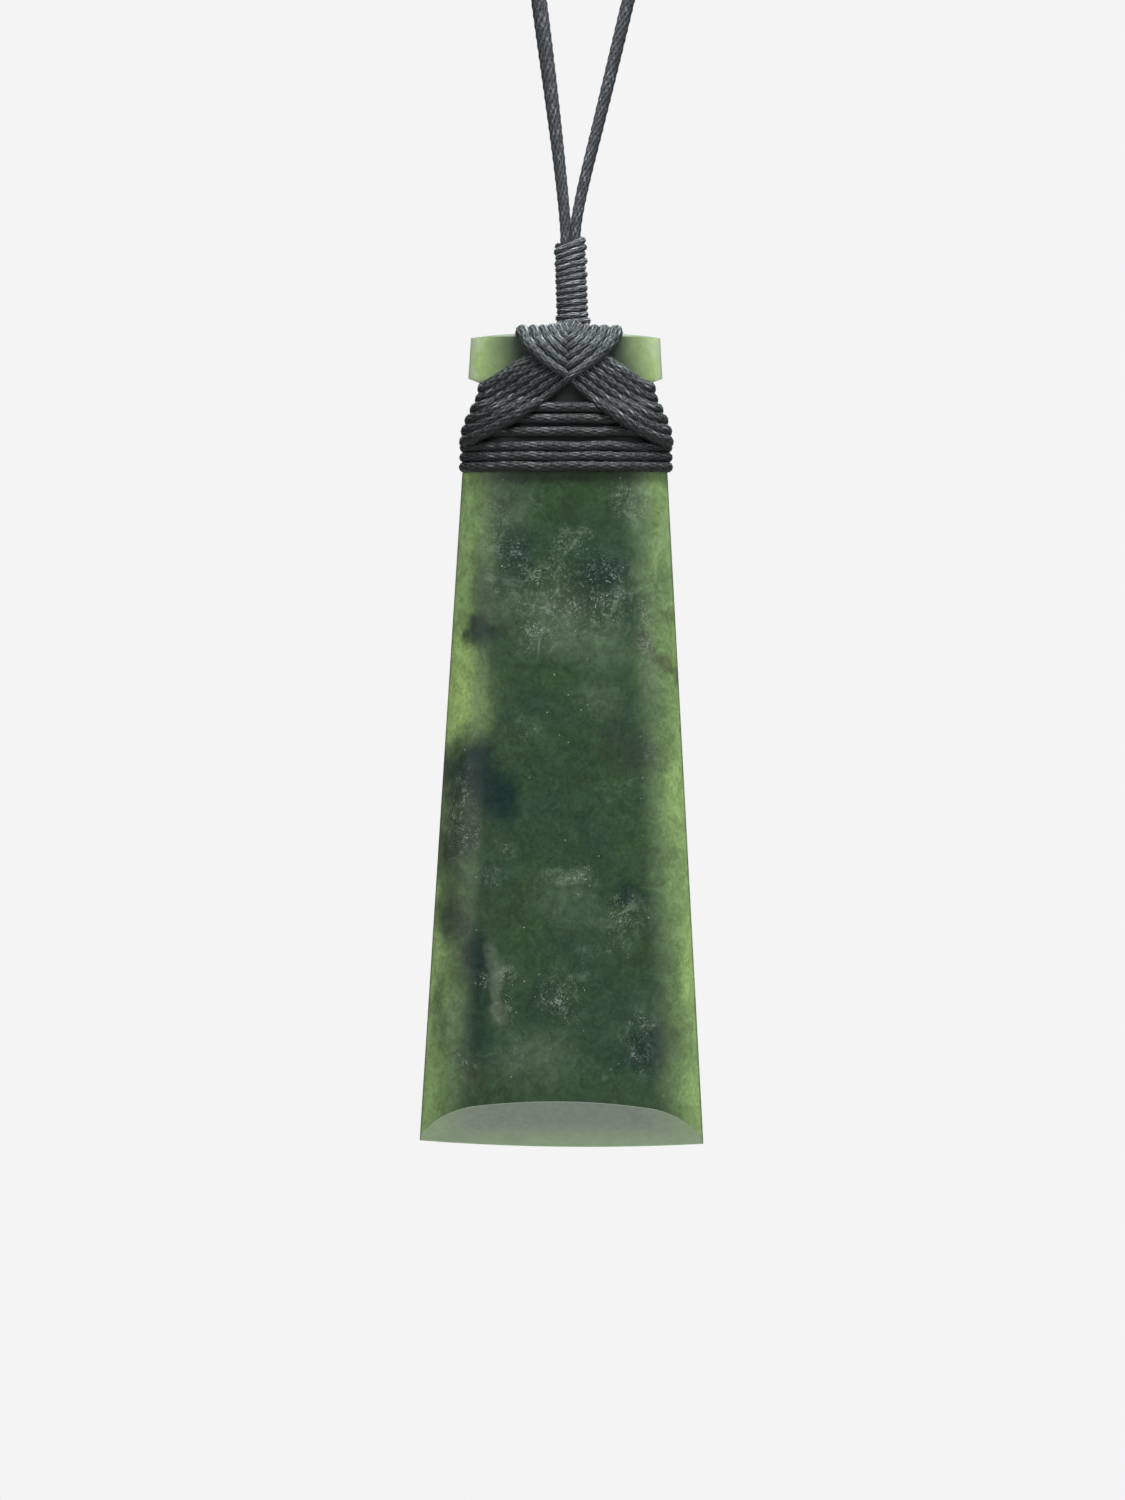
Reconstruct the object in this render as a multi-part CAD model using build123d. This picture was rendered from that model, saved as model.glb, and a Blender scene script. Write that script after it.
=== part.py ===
from build123d import *

import os
from collections import namedtuple
from math import cos, radians, sin, sqrt, tan

# Toki adze pendant: a notched stone blade, bound with fine cord, on a neck cord.
# Millimetres. +X is to the right, the front of the blade faces -Y, +Z is up.
# The origin is under the top of the neck cord, where it lies on the back of the neck.

# Neck cord
cord_diameter = 1.1
# Route of the neck cord, from its left end in the whipping, round the neck, to its right
# end: distance right of the stem's line, height over the origin
cord_route = [
    (-0.58, -292.4),
    (-0.58, -282.6),
    (-2.0, -270.6),
    (-4.9, -249.0),
    (-10.9, -214.0),
    (-20.4, -163.5),
    (-31.0, -113.0),
    (-40.2, -68.0),
    (-44.2, -38.6),
    (-33.9, -14.1),
    (-11.8, 0.55),
    (14.8, 0.55),
    (36.9, -14.1),
    (47.2, -38.6),
    (45.0, -68.0),
    (38.3, -111.0),
    (28.3, -161.0),
    (17.3, -211.0),
    (8.6, -248.2),
    (3.5, -269.6),
    (0.58, -281.4),
    (0.58, -292.4),
]
# Share of the shorter run beside a corner that the corner's arc takes up
arc_share = 0.45

# Whipping round the two legs of the neck cord
stem_top = -284.0
stem_turns = 13
stem_pitch = 0.67
stem_radius = 1.6
stem_groove = 0.16
# Gap between the whipping and the legs inside it
stem_clearance = 0.1

# Binding cord: its thickness in the level turns, and where it is pulled tight over them
row_diameter = 0.92
lash_diameter = 0.68
# Largest arc of a turn where it goes round a side or over the top
lash_corner = 0.6
# Distance between the points that a turn's line goes through, along the front
station_step = 1.2
# Gap between neighbours that lie on each other
seat_gap = 0.06
# Gap between slanting turns that lie side by side, and between those that cross
fan_gap = 0.08
cross_gap = 0.14

# Stone blade
stone_length = 81.5
butt_width = 18.9
blade_width = 28.5
butt_thickness = 4.8
blade_thickness = 5.9
butt_shoulder_radius = 5.0
blade_shoulder_radius = 7.2
# Angle between the front face and the side face, where they meet at the arris
arris_lean = 25.0
side_face = 0.5
back_bulge = 0.6
# Middle of the stone at its top and at its edge, from the line of the stem, left as minus
butt_shift = -0.54
blade_shift = -0.96
# How far the top of the butt drops from its middle to its corners
top_crown = 0.45
# Slope of the ground bevel against the level, and the edge's tilt down to the right
bevel_angle = 51.0
edge_tilt = 0.7

# Notch in each side of the stone, under the binding
notch_start = 4.5
notch_length = 9.4
notch_depth = 2.0
# Profile of the notch: share of its length down from its start, share of its depth
NotchRow = namedtuple("NotchRow", "down depth")
notch_profile = [
    NotchRow(0.00, 0.00),
    NotchRow(0.045, 0.58),
    NotchRow(0.07, 1.00),
    NotchRow(0.40, 0.92),
    NotchRow(0.63, 0.73),
    NotchRow(0.69, 0.32),
    NotchRow(1.00, 0.36),
]

# Level turns of the binding, from the lowest one up: distance from the turn below, as a
# share of the cord's thickness
band_steps = [0, 1.07, 1.07, 1.58, 1.41, 1.25]

# Upright line where the turns cross in front, from the line of the stem, left as minus
crossing_shift = -0.2

# Turns of the V, from the stem outwards, and their slope in degrees
saddle_turns = 5
saddle_slope = 46.7
# Distance of the first one from the crossing's line, at the top of the butt
saddle_first = 1.0
# Gap between the two halves of the V, along the crossing's line
saddle_middle_gap = 0.6

# Slanting turns, from the top one down: where the first one's line passes the side of the
# stone, below the start of the notch, and where it passes the middle, below the top
fan_turns = 6
fan_side_first = 2.1
fan_middle_first = 0.35
fan_slope = 35.5
# How much closer their lines lie at the side than at the middle
fan_spread = 0.98
# How far their inner ends reach in under the V
fan_tuck = 0.9

# Worked out from the sizes above
lash_radius = lash_diameter / 2
row_radius = row_diameter / 2
stem_bottom = stem_top - stem_turns * stem_pitch
saddle_line = stem_bottom - seat_gap - lash_radius
stone_top = saddle_line - lash_radius - seat_gap
stone_bottom = stone_top - stone_length
notch_top = stone_top - notch_start
notch_bottom = notch_top - notch_length
saddle_pitch = (lash_diameter + seat_gap) / sin(radians(saddle_slope))
saddle_reach = saddle_first + (saddle_turns - 1) * saddle_pitch
fan_middle_pitch = (lash_diameter + fan_gap) / cos(radians(fan_slope))
fan_side_pitch = fan_middle_pitch * fan_spread
# Spare stone beyond the blade's edge and outside its sides, which the cuts take away
trim = 2.0


def blend(start, end, share):
    return start + (end - start) * share


class Section:
    """Level section of the stone before its notches: two shoulder arcs and a crown arc in
    front, a narrow flat on each side, and one shallow arc behind."""

    def __init__(self, z):
        share = (stone_top - z) / stone_length
        thickness = blend(butt_thickness, blade_thickness, share)
        self.z = z
        self.middle = blend(butt_shift, blade_shift, share)
        self.half = blend(butt_width, blade_width, share) / 2
        self.shoulder = blend(butt_shoulder_radius, blade_shoulder_radius, share)
        self.back = thickness / 2
        self.side_back = self.back - back_bulge
        self.side_front = self.side_back - side_face
        self.back_radius = (self.half**2 + back_bulge**2) / (2 * back_bulge)
        lean = radians(arris_lean)
        dome = self.side_front + thickness / 2
        self.shoulder_x = self.half - self.shoulder * cos(lean)
        self.shoulder_y = self.side_front + self.shoulder * sin(lean)
        rise = dome + self.shoulder * sin(lean)
        self.crown = self.shoulder_x**2 + rise**2 - self.shoulder**2
        self.crown /= 2 * (rise - self.shoulder)
        self.crown_y = self.crown - thickness / 2
        self.join_x = self.shoulder_x / (self.crown - self.shoulder)

    def front_at(self, out, grow=0.0):
        """Y of the front, grown outwards, at a distance out from the middle."""
        if out <= self.shoulder_x + (self.shoulder + grow) * self.join_x:
            return self.crown_y - sqrt((self.crown + grow) ** 2 - out**2)
        reach = (self.shoulder + grow) ** 2 - (out - self.shoulder_x) ** 2
        return self.shoulder_y - sqrt(reach)

    def back_at(self, out, grow=0.0):
        """Y of the back, grown outwards, at a distance out from the middle."""
        reach = (self.back_radius + grow) ** 2 - out**2
        return self.back - self.back_radius + sqrt(reach)

    def point(self, out, y):
        return (self.middle + out, y, self.z)

    def arc(self, start, end, height, grow=0.0):
        """Arc of the front or back between two distances out from the middle."""
        half_way = (start + end) / 2
        stations = [self.point(out, height(abs(out), grow)) for out in (start, half_way, end)]
        return ThreePointArc(*stations)

    def outline(self):
        join = self.shoulder_x + self.shoulder * self.join_x
        half = self.half
        edges = [
            self.arc(-half, -join, self.front_at),
            self.arc(-join, join, self.front_at),
            self.arc(join, half, self.front_at),
            Line(self.point(half, self.side_front), self.point(half, self.side_back)),
            self.arc(half, -half, self.back_at),
            Line(self.point(-half, self.side_back), self.point(-half, self.side_front)),
        ]
        return Face(Wire(edges))


def notch_half(z):
    """Half width of the stone at a height in the notch."""
    down = (notch_top - z) / notch_length
    half = Section(z).half
    for above, below in zip(notch_profile, notch_profile[1:]):
        if above.down <= down <= below.down:
            share = (down - above.down) / (below.down - above.down)
            return half - notch_depth * blend(above.depth, below.depth, share)
    return half


def notch_cutter(side):
    """Prism that cuts one notch, from its profile and the stone's sloping side."""
    profile = []
    for row in notch_profile:
        section = Section(notch_top - row.down * notch_length)
        out = section.half - notch_depth * row.depth
        profile.append((section.middle + side * out, section.z))
    outer = side * (blade_width / 2 + trim)
    profile.append((outer, notch_bottom))
    profile.append((outer, notch_top))
    face = Plane.XZ * make_face(Polyline(*profile, close=True))
    return extrude(face, amount=blade_thickness, both=True)


def stone_blade():
    blade = loft([Section(stone_top).outline(), Section(stone_bottom - trim).outline()])
    top = Section(stone_top)
    crown = [
        (top.middle - top.half - trim, stone_top + trim),
        (top.middle + top.half + trim, stone_top + trim),
        (top.middle + top.half, stone_top - top_crown),
        (top.middle - top.half, stone_top - top_crown),
    ]
    crown_arc = ThreePointArc(crown[2], (top.middle, stone_top), crown[3])
    crown_sides = Polyline(crown[3], crown[0], crown[1], crown[2])
    above = Plane.XZ * make_face(crown_sides + crown_arc)
    blade -= extrude(above, amount=blade_thickness, both=True)
    for side in (-1, 1):
        blade -= notch_cutter(side)
    edge = Section(stone_bottom)
    slope = radians(bevel_angle)
    tilt = radians(edge_tilt)
    bevel = Plane(
        origin=edge.point(0, edge.back),
        x_dir=(cos(tilt), 0, -sin(tilt)),
        z_dir=(-sin(slope) * sin(tilt), -cos(slope), -sin(slope) * cos(tilt)),
    )
    beyond = 2 * blade_width
    blade -= bevel * Pos(0, 0, beyond / 2) * Box(beyond, beyond, beyond)
    return blade


def tube(path, radius):
    return sweep(Plane(origin=path @ 0, z_dir=path % 0) * Circle(radius), path=path)


def band_row(z):
    """One level turn round the notched stone."""
    section = Section(z)
    grow = seat_gap + row_radius
    out = notch_half(z) + grow
    join = section.shoulder_x + (section.shoulder + grow) * section.join_x
    front = section.front_at(out, grow)
    back = section.back_at(out, grow)
    edges = [
        section.arc(-out, -join, section.front_at, grow),
        section.arc(-join, join, section.front_at, grow),
        section.arc(join, out, section.front_at, grow),
        Line(section.point(out, front), section.point(out, back)),
        section.arc(out, -out, section.back_at, grow),
        Line(section.point(-out, back), section.point(-out, front)),
    ]
    face = Face(Wire(edges))
    corners = [v for v in face.vertices() if abs(abs(v.X - section.middle) - out) < seat_gap]
    return tube(face.fillet_2d(grow, corners).outer_wire(), row_radius)


def corner_radii(points):
    """Radius of the arc at each inner point, from the shorter of its two runs."""
    radii = []
    for before, here, after in zip(points, points[1:], points[2:]):
        arriving = Vector(*here) - Vector(*before)
        leaving = Vector(*after) - Vector(*here)
        half_turn = radians(arriving.get_angle(leaving) / 2)
        radii.append(arc_share * min(arriving.length, leaving.length) / tan(half_turn))
    return radii


def wrap(outer, inner, level_at):
    """C-shaped turn in a plane that holds the Y axis: from an inner point of the front view
    out along the front, round the side or top at the outer point, and back behind. Its
    middle lies off the stone by level_at of the share of the way in."""
    run = Vector(inner[0] - outer[0], 0, inner[1] - outer[1])
    plane = Plane(origin=(outer[0], 0, outer[1]), x_dir=run, z_dir=run.cross(Vector(0, 1, 0)))
    front = []
    back = []
    steps = max(1, round(run.length / station_step))
    for step in range(steps + 1):
        share = step / steps
        level = level_at(share)
        section = Section(min(stone_top, blend(outer[1], inner[1], share)))
        out = abs(blend(outer[0], inner[0], share) - section.middle)
        front.append((share * run.length, section.front_at(out, level)))
        back.append((share * run.length, section.back_at(out, level)))
    points = front[::-1] + back
    radii = corner_radii([(along, y, 0) for along, y in points])
    corner = min(level_at(0), lash_corner, run.length / steps / 2)
    radii[len(front) - 2] = corner
    radii[len(front) - 1] = corner
    stations = [plane.from_local_coords(point) for point in points]
    return tube(Wire(FilletPolyline(*stations, radius=radii)), lash_radius)


def fan_turn(number, side, band_top):
    """Slanting turn from under the V, round one side of the stone, to the back."""
    on_stone = seat_gap + lash_radius
    over_band = on_stone + seat_gap + row_diameter
    side_z = notch_top - fan_side_first - number * fan_side_pitch
    middle_z = stone_top - fan_middle_first - number * fan_middle_pitch
    section = Section(side_z)
    aim = Vector(section.middle + side * section.half, side_z)
    middle = Vector(crossing_shift, middle_z)
    way_in = middle - aim

    def outer_at(level):
        """Point of the line that lies off the notched side by a level."""
        inset = section.half - notch_half(side_z) - level
        return aim + way_in * (inset / abs(way_in.X))

    first_level = on_stone
    if outer_at(on_stone).Y - lash_radius < band_top:
        first_level = over_band
    outer = outer_at(first_level)
    tuck = Vector(crossing_shift + side * (saddle_reach - fan_tuck), saddle_line)
    down_v = Vector(-side * cos(radians(saddle_slope)), -sin(radians(saddle_slope)))
    way_in = middle - outer
    share_in = (tuck - outer).cross(down_v).Z / way_in.cross(down_v).Z
    share_in = min(share_in, 1 - saddle_middle_gap / 2 / abs(way_in.X))
    inner = outer + way_in * share_in
    leaves_band = (band_top + lash_radius - outer.Y) / (inner.Y - outer.Y)

    def level_at(share):
        """Over the level turns, then falling in a straight line to the stone."""
        if first_level == on_stone or share >= 1:
            return on_stone
        falling = max(0, (share - leaves_band) / (1 - leaves_band))
        return blend(over_band, on_stone, falling)

    return wrap((outer.X, outer.Y), (inner.X, inner.Y), level_at)


def saddle_turn(number, side):
    """Turn of the V, from the middle of the front over the butt's top to the back."""
    over_fans = seat_gap + lash_diameter + cross_gap + lash_radius
    top_out = saddle_first + number * saddle_pitch
    inner_out = saddle_middle_gap / 2
    drop = (top_out - inner_out) * tan(radians(saddle_slope))
    outer = (crossing_shift + side * top_out, saddle_line)
    inner = (crossing_shift + side * inner_out, saddle_line - drop)
    return wrap(outer, inner, lambda share: over_fans)


def stem_whipping():
    """Sleeve of close turns, with a slot inside for the two legs of the neck cord."""
    groove = stem_radius - stem_groove
    turns = []
    for turn in range(stem_turns):
        low = stem_bottom + turn * stem_pitch
        crest = (stem_radius, low + stem_pitch / 2)
        turns.append(ThreePointArc((groove, low), crest, (groove, low + stem_pitch)))
    core = Polyline((groove, stem_top), (0, stem_top), (0, stem_bottom), (groove, stem_bottom))
    sleeve = revolve(Plane.XZ * make_face(turns + [core]), axis=Axis.Z)
    leg_out = cord_route[-1][0]
    slot_radius = cord_diameter / 2 + stem_clearance
    slot = SlotCenterToCenter(2 * leg_out, 2 * slot_radius)
    return sleeve - extrude(Pos(0, 0, stem_bottom) * slot, amount=stem_top - stem_bottom)


def neck_cord():
    points = [(x, 0, z) for x, z in cord_route]
    radii = corner_radii(points)
    path = Wire(FilletPolyline(*points, radius=radii))
    print("neck cord corner radii, mm:", [round(radius, 1) for radius in radii])
    print("neck cord length, mm:", round(path.length, 1))
    return tube(path, cord_diameter / 2)


def write(name, solid):
    export_step(solid, f"parts/{name}.step")


os.makedirs("parts", exist_ok=True)
write("stone_blade", stone_blade())
row_z = notch_bottom + seat_gap + row_radius
for number, step in enumerate(band_steps):
    row_z += step * row_diameter
    write(f"band_row_{len(band_steps) - number}", band_row(row_z))
band_top = row_z + row_radius
for name, side in (("left", -1), ("right", 1)):
    for number in range(fan_turns):
        write(f"fan_{name}_{number + 1}", fan_turn(number, side, band_top))
    for number in range(saddle_turns):
        write(f"saddle_{name}_{number + 1}", saddle_turn(number, side))
write("stem_whipping", stem_whipping())
write("neck_cord", neck_cord())
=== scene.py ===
from collections import namedtuple
from math import cos, pi, radians, sin, tan, tau

import bpy
import numpy as np
from bpy.props import FloatProperty, FloatVectorProperty, IntProperty, PointerProperty
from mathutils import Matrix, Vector
from mathutils.bvhtree import BVHTree


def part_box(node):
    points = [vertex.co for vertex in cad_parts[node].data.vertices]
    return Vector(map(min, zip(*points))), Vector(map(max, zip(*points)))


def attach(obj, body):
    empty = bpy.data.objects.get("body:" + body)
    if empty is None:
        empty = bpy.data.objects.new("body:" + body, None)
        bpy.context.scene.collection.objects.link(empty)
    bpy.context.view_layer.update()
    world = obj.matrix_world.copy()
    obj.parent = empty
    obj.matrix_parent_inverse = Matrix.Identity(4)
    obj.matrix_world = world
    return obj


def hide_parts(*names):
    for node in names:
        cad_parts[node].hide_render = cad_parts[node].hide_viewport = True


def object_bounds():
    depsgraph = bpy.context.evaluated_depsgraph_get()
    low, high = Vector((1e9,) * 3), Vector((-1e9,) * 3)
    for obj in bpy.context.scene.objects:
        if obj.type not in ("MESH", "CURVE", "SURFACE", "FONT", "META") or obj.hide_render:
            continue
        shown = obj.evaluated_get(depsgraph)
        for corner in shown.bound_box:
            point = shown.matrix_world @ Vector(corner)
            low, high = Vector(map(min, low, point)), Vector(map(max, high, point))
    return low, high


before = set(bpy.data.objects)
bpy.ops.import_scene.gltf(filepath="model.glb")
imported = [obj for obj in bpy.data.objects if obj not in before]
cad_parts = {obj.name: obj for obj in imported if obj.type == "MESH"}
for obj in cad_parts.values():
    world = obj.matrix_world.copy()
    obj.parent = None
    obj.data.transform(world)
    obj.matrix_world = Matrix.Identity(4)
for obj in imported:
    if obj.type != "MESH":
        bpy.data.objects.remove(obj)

bl_info = {
    "name": "Toki adze pendant",
    "version": (1, 0, 0),
    "blender": (4, 5, 0),
    "location": "View3D > Sidebar > Pendant",
    "description": "Dresses a bound greenstone adze pendant and its braided neck cord",
    "category": "Add Mesh",
}

# Metres, in the model's frame: +X right, the front faces -Y, +Z up along the hanging pendant
MM = 0.001
cad_low, cad_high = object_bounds()
stone_low, stone_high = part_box("stone_blade")
stem_low, stem_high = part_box("stem_whipping")

# Level turns of the binding, numbered from the top one down, and slanting turns of each side,
# numbered from the outermost one in
ROW_COUNT = 6
LASH_COUNT = 6
SIDES = {"left": -1, "right": 1}
FRONT = -1
BACK = 1

# Place across of the upright line on which the slanting turns cross
CROSSING_X = -0.2 * MM
# Depth of the middle of the stone's narrow side faces, behind the line of the stem
SIDE_DEPTH = 1.5 * MM
# The faces of the stone are looked for at least this far under its top and inside its sides
TOP_INSET = 0.6 * MM
SKIN_INSET = 0.05 * MM

# Softened arrises of the stone: least angle between the faces beside one, steepest angle that
# is shaded smooth, and height of the cutting edge's own arris over the lowest point
ARRIS_ANGLE = radians(20)
SMOOTH_ANGLE = radians(25)
EDGE_HEIGHT = 0.8 * MM

# Level turns: share of the cord's thickness between its middle and the stone, how far the
# ends of the top turn sink, sideways drift, where a turn leaves a face for the side, and how
# much further out than a plain turn it goes round each side
ROW_PRESSED = 0.43
TOP_ROW_ARCH = 0.42 * MM
ROW_DRIFT = 0.07 * MM
ROW_CORNER = 0.35 * MM
ROW_SIDE_OUT = {-1: 0.08 * MM, 1: 0.28 * MM}

# Slanting turns, outermost first, in millimetres: distance from the crossing's line at the
# top of the butt, height of the crossing under the top of the stone, height under it where
# the turn goes round the other side, how far it bows out on the way, thickness at the top,
# how far its middle stands over the top of the butt, and how much further out than the rest
# it goes round the side
LashRow = namedtuple("LashRow", "top_out cross_drop side_drop bow top_width crest side_out")
LASH_TABLE = [
    LashRow(4.60, 4.45, 10.60, 0.50, 1.42, -0.18, 0.05),
    LashRow(3.46, 3.40, 9.55, 0.38, 1.32, 0.06, 0.36),
    LashRow(2.50, 2.45, 8.50, 0.28, 1.18, 0.26, 0.24),
    LashRow(1.65, 1.55, 7.45, 0.20, 1.08, 0.48, 0.03),
    LashRow(0.90, 0.75, 6.40, 0.12, 0.96, 0.76, 0.00),
    LashRow(0.30, 0.10, 5.30, 0.05, 0.94, 0.96, -0.12),
]
# Slanting turns, all of them: how much further out than a plain turn they go round each
# side, how far they dip on the way round, and where they leave a face for the side
LASH_SIDE_OUT = {-1: -0.14 * MM, 1: 0.12 * MM}
LASH_DIP = 0.34 * MM
LASH_CORNER = 0.30 * MM
# Share of a cord's thickness by which the turns are raised towards the crossing, and the
# distance down from the top of the butt over which they rise to that height
LASH_STACK = 0.74
LASH_RISE = 1.3 * MM
# In millimetres from the crossing: where a lower turn is down on the stone and over which
# length it gets there, and where an upper turn starts down and over which length
LASH_DIVE = (0.12, 0.40)
LASH_SETTLE = (0.08, 0.42)
# Half the depth of a slanting turn's flat run over the top of the butt
CREST_DEPTH = 1.2 * MM
# Share of the level cord's thickness by which it lifts the slanting turns over it, how far
# over the top turn they start to rise, and over which height
BAND_LIFT = 0.80
BAND_LIFT_START = 0.25 * MM
BAND_LIFT_HEIGHT = 0.9 * MM
# Tone of the slanting turns on the V and past the crossing, the V lighter as painted light
# where it gets more light from above, and how much lighter the uppermost turn of a fan is
V_LIT_TONE = 2.2
FAN_TONE = {-1: 1.0, 1: 0.66}
TOP_FAN_TONE = 0.50

# Route of the neck cord in millimetres, from its left end in the whipping, round the neck,
# to its right end: distance right of the stem's line and height over the origin
NECK_ROUTE = [
    (-0.52, -292.4),
    (-0.52, -285.5),
    (-0.50, -282.6),
    (-1.75, -271.2),
    (-4.7, -249.0),
    (-10.9, -214.0),
    (-20.4, -163.5),
    (-31.0, -113.0),
    (-40.2, -68.0),
    (-44.2, -38.6),
    (-33.9, -14.1),
    (-11.8, 0.55),
    (14.8, 0.55),
    (36.9, -14.1),
    (47.2, -38.6),
    (45.0, -68.0),
    (38.3, -111.0),
    (28.3, -161.0),
    (17.3, -211.0),
    (8.6, -248.2),
    (3.45, -269.8),
    (0.42, -281.9),
    (0.42, -285.5),
    (0.42, -292.4),
]

# Half widths of the stone and places of its middle line, at its top and at its edge
STONE_HALF_WIDTHS = (9.45 * MM, 14.25 * MM)
STONE_MIDDLES = (-0.54 * MM, -0.96 * MM)
# Heights under the top of the stone between which the look of the butt gives way to the rest
BUTT_END = (4.2 * MM, 5.6 * MM)
# Middle of the ground bevel, from the line of the stem
BEVEL_MIDDLE = -0.9 * MM

# Soft ovals in the stone, in millimetres: place right of the stem's line, height under the
# top of the stone, half width and half height. A patch also has its strength and its tone.
Oval = namedtuple("Oval", "x drop half_width half_height")
Patch = namedtuple("Patch", "x drop half_width half_height strength tone")
CROSSING_SHADOW = Oval(-0.2, 2.2, 7.6, 6.4)
PATCHES = [
    # Painted highlights at the corners of the butt
    Patch(-9.8, 1.0, 1.3, 1.1, 0.55, "edge_highlight"),
    Patch(-10.0, 4.5, 1.1, 0.9, 0.45, "edge_highlight"),
    Patch(8.7, 1.0, 1.6, 1.1, 0.50, "edge_highlight"),
    Patch(8.9, 4.6, 0.9, 0.9, 0.30, "edge_highlight"),
    Patch(6.0, 4.0, 1.8, 1.6, 0.25, "cloud"),
    Patch(-11.7, 36.0, 1.9, 5.2, 0.72, "glow"),
    Patch(-9.6, 36.8, 2.3, 4.8, 0.26, "glow"),
    Patch(-10.9, 31.5, 1.4, 3.5, 0.35, "glow"),
    Patch(10.9, 45.5, 1.3, 6.5, 0.26, "glow"),
    Patch(12.1, 62.5, 1.2, 7.0, 0.52, "glow"),
    Patch(-1.5, 27.8, 3.6, 2.6, 0.50, "cloud"),
    Patch(-1.5, 30.6, 3.8, 2.0, 0.42, "cloud"),
    Patch(-6.6, 27.5, 2.0, 2.5, 0.30, "cloud"),
    Patch(2.9, 31.5, 4.2, 3.0, 0.44, "cloud"),
    Patch(2.9, 36.5, 2.6, 2.2, 0.38, "cloud"),
    Patch(8.0, 33.6, 1.6, 3.6, 0.45, "cloud"),
    Patch(9.8, 25.4, 2.2, 3.6, 0.32, "cloud"),
    Patch(-5.5, 17.5, 2.2, 3.0, 0.28, "cloud"),
    Patch(7.1, 18.5, 1.1, 5.0, 0.34, "cloud"),
    Patch(-0.4, 54.4, 2.8, 0.9, 0.50, "cloud"),
    Patch(-0.6, 57.0, 3.8, 2.8, 0.34, "cloud"),
    Patch(2.9, 59.0, 2.2, 0.9, 0.32, "cloud"),
    Patch(-3.6, 72.5, 5.0, 3.2, 0.42, "cloud"),
    Patch(-11.8, 71.0, 0.6, 5.5, 0.35, "cloud"),
    Patch(-12.2, 51.5, 1.4, 2.2, 0.35, "cloud"),
    Patch(-9.6, 42.6, 2.5, 2.9, 0.95, "ink"),
    Patch(-9.2, 44.6, 2.9, 3.4, 0.90, "ink"),
    Patch(-7.0, 46.4, 2.4, 3.4, 1.00, "ink"),
    Patch(-6.3, 47.0, 1.5, 2.0, 0.80, "ink"),
    Patch(-10.9, 47.8, 2.2, 3.8, 0.60, "shade"),
    Patch(-12.3, 45.0, 2.2, 4.2, 0.68, "shade"),
    Patch(-13.1, 68.0, 0.9, 4.5, 0.50, "shade"),
    Patch(-11.6, 50.6, 2.4, 3.2, 0.72, "shade"),
    Patch(-11.6, 43.8, 1.7, 3.2, 0.45, "ink"),
    Patch(9.6, 71.0, 2.4, 3.6, 0.45, "shade"),
    Patch(-11.6, 54.0, 1.9, 5.0, 0.68, "shade"),
    Patch(-12.2, 58.6, 1.8, 3.0, 0.82, "shade"),
    Patch(-10.2, 62.0, 2.0, 4.2, 0.62, "shade"),
    Patch(-9.5, 62.5, 1.4, 4.2, 0.85, "ink"),
    Patch(-9.3, 67.8, 1.2, 3.5, 0.50, "ink"),
    Patch(-9.1, 71.2, 1.5, 3.0, 0.45, "ink"),
    Patch(-9.5, 74.4, 1.3, 1.6, 0.30, "umber"),
    Patch(-9.1, 29.6, 1.5, 1.7, 0.85, "ink"),
    Patch(-9.1, 25.5, 0.9, 5.5, 0.50, "shade"),
    Patch(-5.4, 22.1, 2.2, 3.2, 0.58, "ink"),
    Patch(3.0, 24.1, 3.2, 2.4, 0.72, "ink"),
    Patch(1.2, 26.5, 3.0, 1.6, 0.45, "shade"),
    Patch(4.1, 40.5, 1.5, 1.9, 0.55, "shade"),
    Patch(6.6, 42.3, 1.9, 1.9, 0.65, "shade"),
    Patch(5.7, 56.4, 2.2, 1.6, 0.72, "ink"),
    Patch(7.5, 71.5, 2.3, 2.8, 0.75, "ink"),
    Patch(5.1, 72.8, 2.2, 1.6, 0.40, "ink"),
    Patch(-2.6, 66.9, 3.2, 2.2, 0.38, "ink"),
    Patch(7.2, 30.8, 1.1, 1.1, 0.60, "umber"),
    Patch(8.3, 31.9, 1.0, 0.8, 0.52, "umber"),
    Patch(9.3, 32.6, 1.0, 0.7, 0.55, "umber"),
    Patch(10.3, 33.5, 1.0, 0.7, 0.60, "umber"),
    Patch(10.9, 34.6, 0.8, 0.8, 0.45, "umber"),
    Patch(9.6, 28.5, 0.9, 0.9, 0.35, "umber"),
    Patch(10.9, 69.7, 0.9, 0.9, 0.35, "umber"),
    Patch(-8.2, 62.4, 0.6, 2.6, 0.20, "pale"),
    Patch(-7.6, 65.5, 0.7, 3.2, 0.30, "pale"),
    Patch(-7.2, 67.9, 0.8, 1.8, 0.22, "pale"),
]
# The glow tone is a painted glow of light coming through thin stone, and the light tone at the
# corners of the butt is a painted highlight
TONES = {
    "glow": (0.330, 0.480, 0.150),
    "cloud": (0.100, 0.150, 0.092),
    "ink": (0.005, 0.024, 0.019),
    "shade": (0.027, 0.042, 0.030),
    "umber": (0.046, 0.044, 0.030),
    "edge_highlight": (0.560, 0.650, 0.480),
    "pale": (0.215, 0.255, 0.185),
}
# Tints that drift through the deep green, and colours of: the painted glow of light coming
# through the thin butt, the light threads, the painted shadow on the stone under and round the
# binding, the painted highlight on the edges of the butt and on the arrises, the painted glow
# at the thin ends of the bevel, and the painted shade in the dark line along the sides
COOL = (0.95, 0.98, 1.06)
WARM = (1.06, 1.04, 0.90)
BUTT_GLOW = (0.455, 0.630, 0.260)
THREAD_COLOUR = (0.47, 0.54, 0.46)
SHADOW_COLOUR = (0.022, 0.032, 0.030)
ARRIS_HIGHLIGHT_COLOUR = (0.50, 0.58, 0.47)
THIN_BEVEL_COLOUR = (0.285, 0.385, 0.225)
ARRIS_SHADE_COLOUR = (0.040, 0.052, 0.036)

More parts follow.
